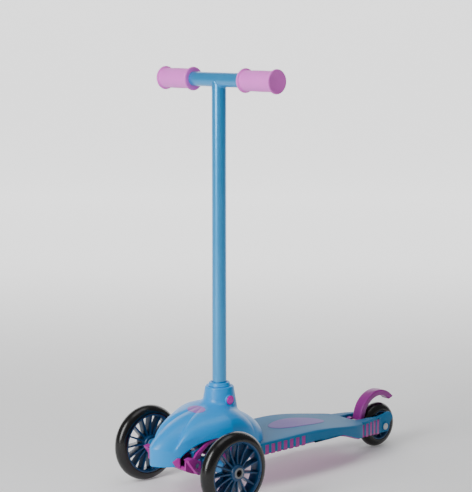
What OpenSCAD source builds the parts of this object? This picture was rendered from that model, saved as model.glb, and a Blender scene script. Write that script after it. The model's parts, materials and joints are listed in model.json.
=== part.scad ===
// Lean-to-steer toddler kick scooter: two front wheels, one rear wheel, lift-out T-bar.
// +X forward, +Y to the rider's left, +Z up. The origin is on the ground, under the
// middle of the scooter's outline.

/* [Wheels] */
// Distance from the front axle to the rear axle
wheelbase = 413; // [350:1:500]
// Distance between the middles of the two front tyres
track = 210; // [190:1:252]
// Diameter of each front wheel over its tyre
front_wheel_d = 120; // [100:1:144]
// Diameter of the rear wheel over its tyre
rear_wheel_d = 76; // [64:1:92]
// Width of every tyre
tyre_w = 24; // [20:0.5:26]
// Thickness of every tyre from its seat to its crown
tyre_t = 13; // [10:0.5:15]
// Radial thickness of the rim's outer ring
rim_ring_t = 3.4; // [2.5:0.1:5]
// Number of spokes in a front wheel
front_spokes = 15; // [9:1:18]
// Number of spokes in the rear wheel
rear_spokes = 10; // [6:1:12]
// Thickness of one spoke
spoke_t = 2.4; // [1.6:0.1:3]
// Radius of a wheel's hub
hub_r = 12.5; // [11:0.5:15]
// Width of a wheel's hub between its two bush flanges
hub_w = 25; // [22:0.5:28]

/* [Axles and bushes] */
// Diameter of the axle bolts, the kingpins and the rear axle
axle_d = 8; // [6:0.5:9]
// Radius of a wheel bush's flange
bush_flange_r = 8; // [7.6:0.1:9]
// Radius of a wheel bush's body, pressed into the hub
bush_body_r = 7; // [6.4:0.1:7.4]
// Thickness of a wheel bush's flange
bush_flange_t = 1.5; // [1:0.1:2]
// Radius of an axle bolt's round head
bolt_head_r = 5.3; // [4.6:0.1:5.6]

/* [Deck] */
// Height of the standing surface above the front axle
deck_rise = 15; // [10:0.5:24]
// Full width of the deck
deck_w = 123; // [105:1:146]
// Height of the deck's blue side at the front
deck_side_h = 17.5; // [14:0.5:22]
// Length of the rounded narrowing towards the tail
taper_len = 115; // [90:1:135]
// Full width of the tail over both fork arms
tail_w = 76; // [66:1:84]
// Full width over both fork arms at the rear axle
axle_w = 48; // [44:1:60]
// Height of the tail's top above the rear axle
tail_rise = 21.5; // [16:0.5:26]
// Wall thickness of the moulded shells
wall = 3; // [2.4:0.1:3.6]
// Spacing of the grip ribs along the deck's edge
rib_pitch = 13; // [11:0.5:15]
// Width of the gap that shows the lower shell between two ribs
rib_gap = 7.5; // [5:0.5:8.5]
// Number of gaps on each side behind the front wheels
front_ribs = 7; // [3:1:8]
// Number of gaps on each side beside the rear wheel
rear_ribs = 5; // [2:1:5]
// Length of the inlaid foot pad
pad_len = 116; // [80:1:130]
// Width of the inlaid foot pad
pad_w = 52; // [36:1:70]

/* [Hood] */
// Height of the hood's crown above the front axle
hood_rise = 72.5; // [66:0.1:82]
// Reach of the nose in front of the front axle
nose_reach = 72; // [60:0.5:84]
// Half of the hood's greatest width
hood_half = 63; // [56:0.5:70]
// Height of the nose's lower edge above the front axle
nose_edge = -2; // [-8:0.5:4]
// Height of the nearly upright chin
chin_h = 27; // [18:0.5:32]
// Radius of the neck where it leaves the hood
neck_foot_r = 28; // [26:0.5:32]
// Radius of the neck at its top
neck_top_r = 22; // [20:0.5:25]
// Height of the neck's top above the front axle
neck_rise = 102; // [96:0.5:112]

/* [T-bar] */
// Distance of the column behind the front axle
column_back = 62; // [56:0.5:70]
// Outer diameter of the column and of the crossbar
tube_d = 22.2; // [20:0.1:25.4]
// Wall thickness of the steel tubes
tube_t = 1.6; // [1.2:0.1:2]
// Height of the crossbar's axis above the front axle
bar_rise = 573; // [470:1:690]
// Width over both grips
bar_w = 262; // [220:1:320]
// Length of one grip
grip_len = 72; // [60:1:86]
// Radius of a grip's body
grip_r = 15.3; // [13.6:0.1:17]
// Radius of the flange at each end of a grip
flange_r = 18.3; // [17.2:0.1:21]

/* [Steering] */
// Distance of a kingpin in front of the front axle
kingpin_x = 10; // [8:0.5:13]
// Distance of a kingpin from the middle of the scooter
kingpin_y = 33; // [30:0.5:35]
// Height of a kingpin's middle above the front axle
kingpin_z = 6; // [3:0.5:8]
// Forward tilt of both kingpins in degrees, which turns a lean into a turn
kingpin_tilt = 20; // [15:0.5:26]
// Length of a knuckle's barrel
barrel_len = 24; // [20:0.5:28]
// Radius of a knuckle's barrel
barrel_r = 7.5; // [7:0.1:9]
// Distance of a tie rod pin behind its kingpin
arm_len = 26; // [22:0.5:30]

/* [Brake and button] */
// Width of the brake fender
fender_w = 32; // [26:0.5:34]
// Diameter of the release button
button_d = 14; // [12:0.5:15]
// Travel of the release button and the lock pin
button_travel = 3.6; // [3:0.1:4]

/* [Fits] */
// Radial clearance of a shaft that turns in its bore
run_fit = 0.05; // [0.02:0.01:0.1]
// Gap between neighbouring surfaces that move past each other
gap = 0.3; // [0.2:0.05:0.6]

/* [Hidden] */
$fn = 64;
axle_r = axle_d / 2;
front_r = front_wheel_d / 2;
rear_r = rear_wheel_d / 2;
tube_r = tube_d / 2;
front_x = (wheelbase + rear_r - nose_reach) / 2;
rear_x = front_x - wheelbase;

// Heights above the ground, and lengths along X from the front axle or the rear axle.
deck_z = front_r + deck_rise;
tail_z = rear_r + tail_rise;
deck_start = front_x - 75;
tail_start = rear_x + 73;
drop_start = front_x - 200;
drop_end = rear_x + 43;
side_drop_start = rear_x + 158;
side_drop_end = rear_x + 68;
side_top = 4;
deck_half = deck_w / 2;
tail_half = tail_w / 2;
axle_half = axle_w / 2;
fork_in = 18;
arm_solid = 16;
head_sink = 3;
head_room_r = 6.1;
slot_front = rear_r * 67.5 / 38 + 2;
base_floor = 2.5;
base_lip = 2;
pad_h = 0.6;
pad_back = 226;
first_front_rib = 107;
first_rear_rib = 70;

// Hood outline in plan: a nose arc, a straight flank and a rounded rear, about its centre.
hood_x = -36;
nose_len = nose_reach - hood_x + 2.4;
flank_len = nose_len + 38;
flank_half = hood_half + 4;
side_half = hood_half + 12;
hood_rear = 92;
plan_power = 6.5;
crown_plan_power = 1.3;
rear_power = 2.7;
arch_x = -24;
arch_z = -9.8;
arch_len = 72;
arch_h = 48.4;
hood_steps = 60;
dome_rings = 9;
socket_r = tube_r + 3.5;
socket_bore = tube_r + 0.1;
socket_floor = 32;
column_foot_t = 3;
collar_h = 6;
neck_wall = 3;
button_z = 83;
pin_r = 4;

wheel_in = track / 2 - hub_w / 2 - bush_flange_t;
bolt_head_h = 4;
bush_len = 10;
washer_t = 1.3;
fork_spacer_in = hub_w / 2 + bush_flange_t + gap;

// Kingpin frame: u points forward and down, w points up along the kingpin.
king_bush_t = 1.2;
king_seat = barrel_len / 2 + king_bush_t + 0.1;
king_bush_r = axle_r + 1.6;
bridge_t = 4;
bridge_post_y = 12;
arm_low = -11;
arm_t = 5;
rod_low = arm_low + arm_t + gap;
rod_t = 5;
tie_pin_r = 2.5;
spring_w = 5.5;
spring_inner = 3;
spring_outer = 21.5;
post_low = rod_low + rod_t + gap + 2.3;
tray_floor_z = -14;
tray_half = 46;
liner_out = 47.5;
bracket_out = 55;
tray_front_x = 43;
seat_drop = 0.3;
seat_gap = 0.5;
lip_w = 3.5;
screw_sink = 3;
fender_pin = [51, 12];
fender_barrel_r = 7;
brake_pin_r = 3;

blue = [0.26, 0.68, 0.90];
deep_blue = [0.10, 0.40, 0.62];
pink = [0.80, 0.30, 0.68];
light_pink = [0.95, 0.72, 0.95];
steel = [0.70, 0.72, 0.75];
black = [0.12, 0.11, 0.11];

// ---------- Shared functions ----------

function ease(t) = (1 - cos(180 * min(1, max(0, t)))) / 2;
function mix(a, b, t) = a + (b - a) * t;

// Height of the deck's top and of its blue side's lower edge at a place along X.
function deck_top_z(x) = mix(deck_z, tail_z, ease((drop_start - x) / (drop_start - drop_end)));
function side_z(x) = mix(deck_z - deck_side_h, rear_r - 2,
    ease((side_drop_start - x) / (side_drop_start - side_drop_end)));

// Half of the deck's width: straight, a quarter ellipse down to the tail, then the fork arms
// narrow to the axle.
function deck_half_at(x, inset = 0) =
    let (t = min(1, max(0, (tail_start + taper_len - x) / taper_len)))
    mix(tail_half, axle_half, ease((tail_start - x) / (tail_start - rear_x)))
        + (deck_half - tail_half) * sqrt(1 - t * t) - inset;

// Hood outline: distance from the hood's centre at an angle, 0 pointing forward.
function power_sum(list, p) = pow(list * [for (i = list) 1], 1 / p);
function flank_r(c, s) = 1 / power_sum([pow(c / nose_len, plan_power),
    pow(s / side_half, plan_power), pow(c / flank_len + s / flank_half, plan_power)], plan_power);
function oval_r(c, s, reach, half, p) = 1 / power_sum([pow(c / reach, p), pow(s / half, p)], p);
function hood_r(a) = let (c = cos(a), s = abs(sin(a)))
    c > 0 ? flank_r(c, s) : oval_r(-c, s, hood_rear, flank_r(0, 1), rear_power);

// Outline of the crown, which lacks the nose's corners and blends into the lower outline.
function crown_r(a) = let (c = cos(a), s = abs(sin(a)))
    c > 0 ? oval_r(c, s, nose_len * 0.98, flank_r(0, 1), crown_plan_power) : hood_r(a);

// Lower edge of the hood: level at the nose, an arch over each wheel, then on the deck.
function arch_at(x) = let (t = (x - arch_x) / arch_len)
    abs(t) < 1 ? arch_z + arch_h * sqrt(1 - t * t) : arch_z;
function hood_edge(a) = let (x = hood_x + hood_r(a) * cos(a))
    x > arch_x ? max(nose_edge, arch_at(x)) : max(deck_rise, arch_at(x));
// The hood's outline in plan, grown all round.
function hood_plan(grow) = [for (k = [0:hood_steps - 1])
    let (a = 360 * k / hood_steps, r = hood_r(a) + grow) [hood_x + r * cos(a), r * sin(a)]];
function hood_brow(a) = hood_edge(a) + chin_h * pow(max(0, cos(a)), 4);
function crown_power(a) = mix(3.34, cos(a) > 0 ? 1.85 : 1.8, cos(a) * cos(a));
function crown_root(a) = mix(1 / 3.34, cos(a) > 0 ? 0.8 : 1 / 1.8, cos(a) * cos(a));
function hood_point(a, v, inset) = let (
    r = (mix(crown_r(a), hood_r(a), pow(v, 3)) - inset) * v,
    rise = pow(max(0, 1 - pow(v, crown_power(a))), crown_root(a)))
    [hood_x + r * cos(a), r * sin(a), mix(hood_brow(a), hood_rise - inset, rise)];
function hood_rim(a, inset, z) = let (r = hood_r(a) - inset)
    [hood_x + r * cos(a), r * sin(a), z];

// Points along a helix about Z.
function helix(r, turns, pitch, steps) =
    [for (i = [0:turns * steps]) let (a = 360 * i / steps)
        [r * cos(a), r * sin(a), pitch * i / steps]];

// ---------- Shared modules ----------

module at_front() { translate([front_x, 0, front_r]) children(); }
module at_rear() { translate([rear_x, 0, rear_r]) children(); }
module mirror_y(side) { if (side < 0) mirror([0, 1, 0]) children(); else children(); }
module both_sides() { for (side = [1, -1]) mirror_y(side) children(); }
module along_y(from, to, r) {
    translate([0, from, 0]) rotate([-90, 0, 0]) cylinder(r = r, h = to - from);
}
module at_column() { at_front() translate([-column_back, 0, 0]) children(); }

// Kingpin frame on one side, turned so that local Z is the kingpin's axis.
module at_kingpin(y = 0) {
    at_front() translate([kingpin_x, y, kingpin_z]) rotate([0, kingpin_tilt, 0]) children();
}

// Closed surface through a list of rings that each have the same number of points.
module ring_solid(rings) {
    n = len(rings[0]);
    last = len(rings) - 1;
    polyhedron(
        points = [for (r = rings) each r],
        faces = concat(
            [[for (i = [0:n - 1]) i]],
            [for (k = [0:last - 1]) for (i = [0:n - 1]) each [
                [k * n + i, (k + 1) * n + i, (k + 1) * n + (i + 1) % n],
                [k * n + i, (k + 1) * n + (i + 1) % n, k * n + (i + 1) % n]]],
            [[for (i = [n - 1:-1:0]) last * n + i]]),
        convexity = 8);
}

// Coil spring standing on Z = 0.
module coil(r, wire_r, turns, length, sides = 6, steps = 16) {
    pitch = (length - 2 * wire_r) / turns;
    rings = [for (p = helix(r, turns, pitch, steps)) let (a = atan2(p[1], p[0]))
        [for (k = [0:sides - 1]) let (b = 360 * k / sides)
            [(r + wire_r * cos(b)) * cos(a), (r + wire_r * cos(b)) * sin(a),
             p[2] + wire_r + wire_r * sin(b)]]];
    ring_solid(rings);
}

// ---------- Deck ----------

deck_stations = concat(
    [for (x = [deck_start, deck_start - 40, tail_start + taper_len]) x],
    [for (k = [1:14]) tail_start + taper_len * cos(90 * k / 14)],
    [for (k = [1:12]) mix(tail_start, rear_x, k / 12)]);

module deck_plan(inset, start) {
    xs = [for (x = deck_stations) min(x, start)];
    ends = [for (x = xs) [x, deck_half_at(x, inset)]];
    edge = concat(ends, [[rear_x - 22, axle_half - inset]]);
    last = len(edge) - 1;
    polygon(concat(edge, [for (k = [last:-1:0]) [edge[k][0], -edge[k][1]]]));
}

// Fork arm from the side, about the rear axle: upper edge with a horn, hollow rear end that
// goes round the axle, and lower edge.
arm_top = [[30, 20.8], [18, 20.2], [8, 21.2], [-2, 23.4], [-8, 24.4], [-13, 22.6], [-17, 17.6]];
arm_end = [[-19.4, 12.4], [-15.2, 8.8], [-12, 4], [-9.4, -1], [-7.8, -5.5], [-7, -9.2]];
arm_low_edge = [[7, -9.6], [25.5, -6.4], [46, -3.4]];

// Side view of the blue shell, from its upper face down to its lower edge.
module deck_side(top_inset, low_extra) {
    xs = [for (k = [0:24]) mix(deck_start + 0.5, side_drop_end, k / 24)];
    arm = [for (p = arm_top) [rear_x + p[0], rear_r + p[1] - top_inset]];
    end = [for (p = arm_end) [rear_x + p[0], rear_r + p[1]]];
    foot = [for (p = arm_low_edge) [rear_x + p[0], rear_r + p[1] - low_extra]];
    polygon(concat([for (x = xs) [x, deck_top_z(x) - top_inset]], arm, end, foot,
        [for (k = [24:-1:0]) [xs[k], side_z(xs[k]) - low_extra]]));
}

module side_extrude(half) {
    translate([0, half, 0]) rotate([90, 0, 0]) linear_extrude(height = 2 * half) children();
}

// Slot that the rear wheel and the brake fender sit in.
module wheel_slot() {
    translate([rear_x - 60, -fork_in, -1]) cube([60 + slot_front, 2 * fork_in, tail_z + 60]);
}

// Gaps between the ribs on one edge: a row behind the front wheels and a row at the tail.
module rib_cuts(depth, shrink) {
    width = rib_gap - 2 * shrink;
    for (k = [0:front_ribs - 1]) {
        x = front_x - first_front_rib - rib_pitch * k;
        both_sides() translate([x - width / 2, deck_half - depth, 0])
            cube([width, depth + 2, deck_z - side_top - shrink]);
    }
    for (k = [0:rear_ribs - 1]) {
        x = rear_x + first_rear_rib - (rib_pitch - 1) * k;
        inner = deck_half_at(x - width / 2) - depth;
        both_sides() translate([x - width / 2, inner, 0])
            cube([width, depth + 5, tail_z - side_top - shrink]);
    }
}

module screw_places() {
    for (x = [front_x - 120, front_x - 210, rear_x + 150]) both_sides()
        translate([x, 34, 0]) children();
}

module deck_top() {
    boss_r = 4.5;
    color(blue) difference() {
        union() {
            difference() {
                intersection() {
                    linear_extrude(height = 200) deck_plan(0, deck_start);
                    side_extrude(90) deck_side(0, 0);
                }
                // Hollow underside, open below and at the front
                intersection() {
                    translate([0, 0, -1]) linear_extrude(height = 200)
                        deck_plan(wall, deck_start + 1);
                    side_extrude(90) deck_side(wall, 60);
                    translate([rear_x + arm_solid, -100, -5]) cube([500, 200, 300]);
                }
                rib_cuts(wall + 2.5, 0);
            }
            // Inner walls of the two fork arms
            both_sides() intersection() {
                translate([rear_x - 30, fork_in, 0]) cube([96, wall, 200]);
                side_extrude(90) deck_side(0, 0);
            }
            // Screw bosses hang down to the lower shell's floor
            screw_places() translate([0, 0, deck_z - deck_side_h])
                cylinder(r = boss_r, h = deck_side_h - 12);
            intersection() {
                screw_places() translate([0, 0, deck_z - deck_side_h]) cylinder(r = boss_r, h = 60);
                side_extrude(90) deck_side(0, 0);
            }
        }
        wheel_slot();
        at_rear() along_y(-60, 60, axle_r);
        at_rear() both_sides() along_y(axle_half - head_sink, 60, head_room_r);
        at_rear() translate([fender_pin[0], 0, fender_pin[1]]) along_y(-27, 27, brake_pin_r);
        screw_places() translate([0, 0, -1]) cylinder(r = 1.5, h = deck_z - 7);
        pad_shape(0.1, 5);
        // Shallow seat that the hood's edge stands in
        at_front() translate([0, 0, deck_rise - seat_drop]) linear_extrude(height = 20)
            polygon(hood_plan(seat_gap));
        at_column() translate([0, 0, -60]) cylinder(r = socket_r, h = 200);
    }
}

// Oval foot pad that follows the deck's gentle fall, sunk by pad_h and as much above it.
module pad_shape(grow, above) {
    xs = [for (k = [0:24]) front_x - pad_back + (pad_len / 2 + 2) * (1 - k / 12)];
    intersection() {
        translate([front_x - pad_back, 0, 0]) linear_extrude(height = 200)
            polygon([for (k = [0:71]) [(pad_len / 2 + grow) * cos(5 * k),
                (pad_w / 2 + grow) * sin(5 * k)]]);
        side_extrude(60) polygon(concat([for (x = xs) [x, deck_top_z(x) + above]],
            [for (k = [24:-1:0]) [xs[k], deck_top_z(xs[k]) - pad_h]]));
    }
}

module foot_pad() { color(light_pink) pad_shape(0, pad_h); }

module deck_base() {
    inset = wall + gap / 2;
    color(pink) difference() {
        union() {
            difference() {
                intersection() {
                    linear_extrude(height = 200) deck_plan(inset, deck_start);
                    side_extrude(90) deck_side(wall + gap, base_lip);
                    translate([rear_x + arm_solid + gap, -100, -5]) cube([500, 200, 300]);
                }
                // Tray shape: open above its floor
                intersection() {
                    linear_extrude(height = 200) deck_plan(inset + base_floor, deck_start + 1);
                    side_extrude(90) translate([0, base_floor + base_lip]) deck_side(-60, 0);
                }
            }
            // Lugs that fill the gaps between the ribs
            intersection() {
                rib_cuts(wall + 2, 0.15);
                linear_extrude(height = 200) deck_plan(0.4, deck_start);
                side_extrude(90) deck_side(side_top + 0.15, base_lip);
            }
        }
        wheel_slot_wide();
        screw_places() translate([0, 0, deck_z - deck_side_h]) cylinder(r = 4.5 + gap, h = 60);
        screw_places() translate([0, 0, -1]) cylinder(r = 2, h = 200);
        screw_places() translate([0, 0, deck_z - deck_side_h - base_lip - 1])
            cylinder(r = 3.8, h = 2);
        at_column() translate([0, 0, -60]) cylinder(r = socket_r, h = 200);
    }
}

// The lower shell stays clear of the fork's inner walls too.
module wheel_slot_wide() {
    half = fork_in + wall + gap / 2;
    translate([rear_x - 60, -half, -1]) cube([60 + slot_front + wall, 2 * half, tail_z + 60]);
}

module deck_screws() {
    color(steel) screw_places() translate([0, 0, deck_z - deck_side_h - base_lip]) {
        translate([0, 0, -0.6]) cylinder(r = 3.6, h = 1.6);
        translate([0, 0, 1]) cylinder(r = 1.5, h = 9);
    }
}

// ---------- Hood and neck ----------

// Solid of the hood's outside, or of its hollow when inset by the wall. Its underside is a
// cone from the lower edge to a point at floor_z.
module hood_form(inset, skirt, floor_z) {
    angles = [for (k = [0:hood_steps - 1]) 360 * k / hood_steps];
    dome = [for (j = [dome_rings:-1:1]) let (v = sin(90 * j / dome_rings))
        [for (a = angles) hood_point(a, v, inset)]];
    low = [for (a = angles) hood_rim(a, inset, hood_edge(a) - skirt)];
    rings = concat([low], dome, [[for (a = angles) hood_point(a, 0.02, inset)]]);
    n = hood_steps;
    last = len(rings) - 1;
    centre_low = [hood_x, 0, floor_z];
    top = [hood_x, 0, hood_rise - inset];
    count = n * (last + 1);
    polyhedron(
        points = concat([for (r = rings) each r], [centre_low, top]),
        faces = concat(
            [for (i = [0:n - 1]) [i, (i + 1) % n, count]],
            [for (k = [0:last - 1]) for (i = [0:n - 1]) each [
                [k * n + i, (k + 1) * n + i, (k + 1) * n + (i + 1) % n],
                [k * n + i, (k + 1) * n + (i + 1) % n, k * n + (i + 1) % n]]],
            [for (i = [0:n - 1]) [last * n + i, count + 1, last * n + (i + 1) % n]]),
        convexity = 6);
}

function neck_r(z) = mix(neck_foot_r, neck_top_r, (z - 66) / (neck_rise - 66));

module neck_solid(inset, low, high) {
    translate([0, 0, low]) cylinder(r1 = neck_r(low) - inset, r2 = neck_r(high) - inset,
        h = high - low);
}

module hood() {
    low = 56;
    color(blue) at_front() difference() {
        union() {
            difference() {
                hood_form(0, 0, arch_z + arch_h);
                hood_form(wall, 12, nose_edge - 20);
            }
            // Cone of the neck, a hollow shell with a boss for the button
            translate([-column_back, 0, 0]) difference() {
                neck_solid(0, low, neck_rise);
                neck_solid(neck_wall, low - 1, neck_rise - neck_wall);
            }
            translate([-column_back, 0, button_z])
                along_y(socket_r + 0.6, neck_r(button_z) - 1.5, button_d / 2 + 3);
        }
        translate([-column_back, 0, 0]) {
            cylinder(r = socket_r + 0.1, h = 200);
            translate([0, 0, button_z]) along_y(0, 60, button_d / 2 + 0.1);
            translate([0, 0, button_z]) along_y(0, socket_r + 6.2, button_d / 2 + 1.2);
        }
        badge_place() translate([0, 0, -20]) scale([1.75, 1, 1]) cylinder(r = 10.2, h = 40);
    }
}

module badge_place() { translate([-12, 0, hood_rise - 7]) rotate([0, 12, 0]) children(); }

// Plain oval set flush into the crown, in front of the neck.
module hood_badge() {
    color(pink) at_front() intersection() {
        difference() {
            hood_form(0, 0, arch_z + arch_h);
            hood_form(wall, 12, nose_edge - 20);
        }
        badge_place() translate([0, 0, -20]) scale([1.75, 1, 1]) cylinder(r = 10.1, h = 40);
    }
}

module neck_collar() {
    color(blue) at_column() translate([0, 0, neck_rise]) difference() {
        union() {
            cylinder(r1 = 18, r2 = 16.6, h = collar_h - 1.2);
            translate([0, 0, collar_h - 1.2]) cylinder(r1 = 16.6, r2 = 15.2, h = 1.2);
        }
        translate([0, 0, -1]) cylinder(r = socket_bore, h = 20);
    }
}

module column_socket() {
    color(deep_blue) at_column() difference() {
        translate([0, 0, -5]) cylinder(r = socket_r, h = neck_rise + 5);
        translate([0, 0, socket_floor]) cylinder(r = socket_bore, h = 200);
        translate([0, 0, -6]) cylinder(r = socket_r - 3.5, h = 6 + socket_floor - 3);
        translate([0, 0, button_z]) along_y(0, 60, pin_r + run_fit);
    }
}

// ---------- T-bar ----------

module steering_column() {
    low = socket_floor + column_foot_t;
    color(blue) at_column() difference() {
        translate([0, 0, low]) cylinder(r = tube_r, h = bar_rise - low);
        translate([0, 0, low - 1]) cylinder(r = tube_r - tube_t, h = bar_rise - low + 2);
        translate([0, 0, bar_rise]) along_y(-40, 40, tube_r);
        translate([0, 0, button_z]) along_y(0, 60, pin_r + run_fit);
    }
}

module column_foot() {
    color(black) at_column() translate([0, 0, socket_floor]) {
        cylinder(r = tube_r, h = column_foot_t);
        translate([0, 0, column_foot_t]) cylinder(r = tube_r - tube_t, h = 14);
    }
}

module crossbar() {
    half = bar_w / 2 - 5;
    color(blue) at_column() translate([0, 0, bar_rise]) difference() {
        along_y(-half, half, tube_r);
        along_y(-half - 1, half + 1, tube_r - tube_t);
    }
}

// Grip turned about the bar: a flange at each end and a closed outer end.
module grip(side) {
    inner = bar_w / 2 - grip_len;
    outer = bar_w / 2;
    lip = 4;
    color(light_pink) at_column() translate([0, 0, bar_rise]) mirror_y(side)
        rotate([-90, 0, 0]) difference() {
            rotate_extrude() union() {
                translate([0, inner]) square([grip_r, grip_len]);
                translate([0, inner]) square([flange_r - lip / 2, lip]);
                translate([flange_r - lip / 2, inner + lip / 2]) circle(d = lip);
                translate([0, outer - lip]) square([flange_r - lip / 2, lip]);
                translate([flange_r - lip / 2, outer - lip / 2]) circle(d = lip);
            }
            translate([0, 0, inner - 1]) cylinder(r = tube_r, h = grip_len - 4);
        }
}

module grip_left() { grip(1); }
module grip_right() { grip(-1); }

// ---------- Front tray and steering ----------

module tray_profile() {
    polygon([[52, 6], [49, 0], [40, -7], [30, -11.5], [18, tray_floor_z], [-24, tray_floor_z],
        [-52, -9], [-72, deck_rise - deck_side_h - base_lip - 3],
        [-112, deck_rise - deck_side_h - base_lip - 3],
        [-112, deck_rise - deck_side_h - base_lip], [-70, deck_rise - deck_side_h - base_lip],
        [-70, 12], [46, 12]]);
}

module front_tray() {
    color(pink) difference() {
        union() {
            at_front() difference() {
                translate([0, tray_half, 0]) rotate([90, 0, 0])
                    linear_extrude(height = 2 * tray_half) tray_profile();
                // Hollow above the floor
                difference() {
                    translate([-65, wall - tray_half, tray_floor_z + wall])
                        cube([65 + tray_front_x, 2 * (tray_half - wall), 60]);
                    translate([40, -60, 0]) rotate([0, 49, 0]) translate([0, 0, -40])
                        cube([30, 120, 40]);
                    translate([-66, -60, tray_floor_z - 10]) cube([20, 120, 10 + wall + 3.5]);
                }
                // Windows for the knuckle arms
                translate([-23, -60, tray_floor_z + wall + 2]) cube([42, 120, 60]);
                nose_room();
            }
            at_front() liners();
            // Kingpin seats and posts for the bridge
            both_sides() at_kingpin(kingpin_y) translate([0, 0, -king_seat - 8])
                cylinder(r = barrel_r, h = 8);
            both_sides() at_kingpin(bridge_post_y) translate([0, 0, -king_seat - 6])
                cylinder(r = 5, h = 2 * king_seat + 6);
        }
        both_sides() at_kingpin(kingpin_y) {
            translate([0, 0, -40]) cylinder(r = axle_r, h = 60);
            translate([0, 0, -40 - king_seat - 4]) cylinder(r = 7.2, h = 40);
        }
        both_sides() at_kingpin(bridge_post_y) cylinder(r = 1.5, h = 30);
        at_front() both_sides() tray_screw_place() {
            translate([0, 0, -9]) cylinder(r = 1.5, h = 30);
            translate([0, 0, -screw_sink]) cylinder(r = 4, h = 30);
        }
        at_column() translate([0, 0, -60]) cylinder(r = socket_r - 3.5, h = 200);
        at_column() translate([0, 0, -5]) cylinder(r = socket_r, h = 200);
    }
}

// Slot for the hood's nose, with the tray's front corners cut back to a lip outside it.
module nose_room() {
    intersection() {
        translate([tray_front_x - 0.5, -60, -30]) cube([40, 120, 80]);
        difference() {
            linear_extrude(height = 200, center = true) square([300, 200], center = true);
            linear_extrude(height = 201, center = true) difference() {
                polygon(hood_plan(lip_w));
                polygon(hood_plan(seat_gap));
            }
            linear_extrude(height = 201, center = true) polygon(hood_plan(-wall - seat_gap));
        }
    }
}

// Wheel arch liner along the top of each side wall, and the bracket in front of the kingpin.
module liners() {
    lap = wall - 0.5;
    outer = [[27.5, 11], [25.6, 13.7], [21.8, 19], [14.3, 23.5], [3, 31.4], [-8.4, 35.8],
        [-19.8, 37.6], [-31.3, 36.6], [-41, 32], [-49, 22], [-51.5, 9]];
    inner = [[-46, 9], [-44, 20], [-37, 28.5], [-27.5, 33], [-12.2, 31.6], [1.1, 26.6],
        [10.5, 19.5], [17.2, 9]];
    both_sides() {
        translate([0, liner_out, 0]) rotate([90, 0, 0])
            linear_extrude(height = liner_out - tray_half + lap) polygon(concat(outer, inner));
        translate([0, bracket_out, 0]) rotate([90, 0, 0])
            linear_extrude(height = bracket_out - tray_half + lap)
            polygon([[20.5, -12.5], [26, -12], [36, 0], [45, 13], [37, 15], [29, 12.5], [20.5, 8]]);
    }
}

module tray_screw_place() { translate([27, bracket_out, 2]) rotate([-90, 0, 0]) children(); }

module tray_screws() {
    color(steel) at_front() both_sides() tray_screw_place() {
        translate([0, 0, -screw_sink]) cylinder(r = 3.6, h = 2);
        translate([0, 0, -9]) cylinder(r = 1.5, h = 9 - screw_sink + 0.1);
    }
}

module steering_bridge() {
    color(deep_blue) difference() {
        union() {
            at_kingpin() translate([-arm_len - 5, -kingpin_y - 9, king_seat])
                cube([arm_len + 14, 2 * kingpin_y + 18, bridge_t]);
            both_sides() at_kingpin() translate([-arm_len - 5, spring_outer, post_low])
                cube([10, 4, king_seat - post_low]);
        }
        both_sides() at_kingpin(kingpin_y) cylinder(r = axle_r, h = 60);
        both_sides() at_kingpin(bridge_post_y) cylinder(r = 1.5, h = 60);
    }
}

module bridge_screws() {
    color(steel) both_sides() at_kingpin(bridge_post_y) translate([0, 0, king_seat + bridge_t]) {
        cylinder(r = 3.4, h = 2);
        translate([0, 0, -12]) cylinder(r = 1.5, h = 12);
    }
}

module kingpins() {
    color(steel) both_sides() at_kingpin(kingpin_y) {
        translate([0, 0, -king_seat - 4]) cylinder(r = axle_r, h = 2 * king_seat + bridge_t + 8.5);
        translate([0, 0, -king_seat - 4 - 4]) cylinder(r = 6.5, h = 4, $fn = 6);
    }
}

module kingpin_nuts() {
    color(steel) both_sides() at_kingpin(kingpin_y) translate([0, 0, king_seat + bridge_t])
        difference() {
            cylinder(r = 7, h = 4, $fn = 6);
            translate([0, 0, -1]) cylinder(r = axle_r, h = 8);
        }
}

// Knuckle: barrel on the kingpin, arm out to the wheel, short arm back to the tie rod.
module knuckle(side) {
    boss_r = 9.5;
    boss_out = wheel_in - washer_t - 0.2;
    boss_in = boss_out - 30;
    color(deep_blue) mirror_y(side) difference() {
        union() {
            at_kingpin(kingpin_y) translate([0, 0, -barrel_len / 2])
                cylinder(r = barrel_r, h = barrel_len);
            at_front() translate([0, 0, -2]) linear_extrude(height = 10)
                polygon([[kingpin_x - 10, kingpin_y + 1], [kingpin_x + 4, kingpin_y + 3],
                    [boss_r - 1, boss_in + 2], [1 - boss_r, boss_in + 2]]);
            at_front() along_y(boss_in, boss_out, boss_r);
            at_kingpin(kingpin_y) translate([0, 0, arm_low]) {
                translate([-arm_len, -4.5, 0]) cube([arm_len, 9, arm_t]);
                translate([-arm_len, 0, 0]) cylinder(r = 5.5, h = arm_t);
            }
        }
        at_kingpin(kingpin_y) translate([0, 0, -30]) cylinder(r = king_bush_r, h = 60);
        at_kingpin(kingpin_y) translate([-arm_len, 0, arm_low - 1]) cylinder(r = tie_pin_r, h = 20);
        at_front() along_y(kingpin_y + barrel_r + 4, 200, axle_r);
    }
}

module knuckle_left() { knuckle(1); }
module knuckle_right() { knuckle(-1); }

module knuckle_bushes(side) {
    color(black) mirror_y(side) at_kingpin(kingpin_y) for (end = [0, 1]) mirror([0, 0, end])
        difference() {
            union() {
                translate([0, 0, barrel_len / 2]) cylinder(r = barrel_r, h = king_bush_t);
                translate([0, 0, barrel_len / 2 - 9]) cylinder(r = king_bush_r, h = 9);
            }
            cylinder(r = axle_r + run_fit, h = 60);
        }
}

module knuckle_bushes_left() { knuckle_bushes(1); }
module knuckle_bushes_right() { knuckle_bushes(-1); }

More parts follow.
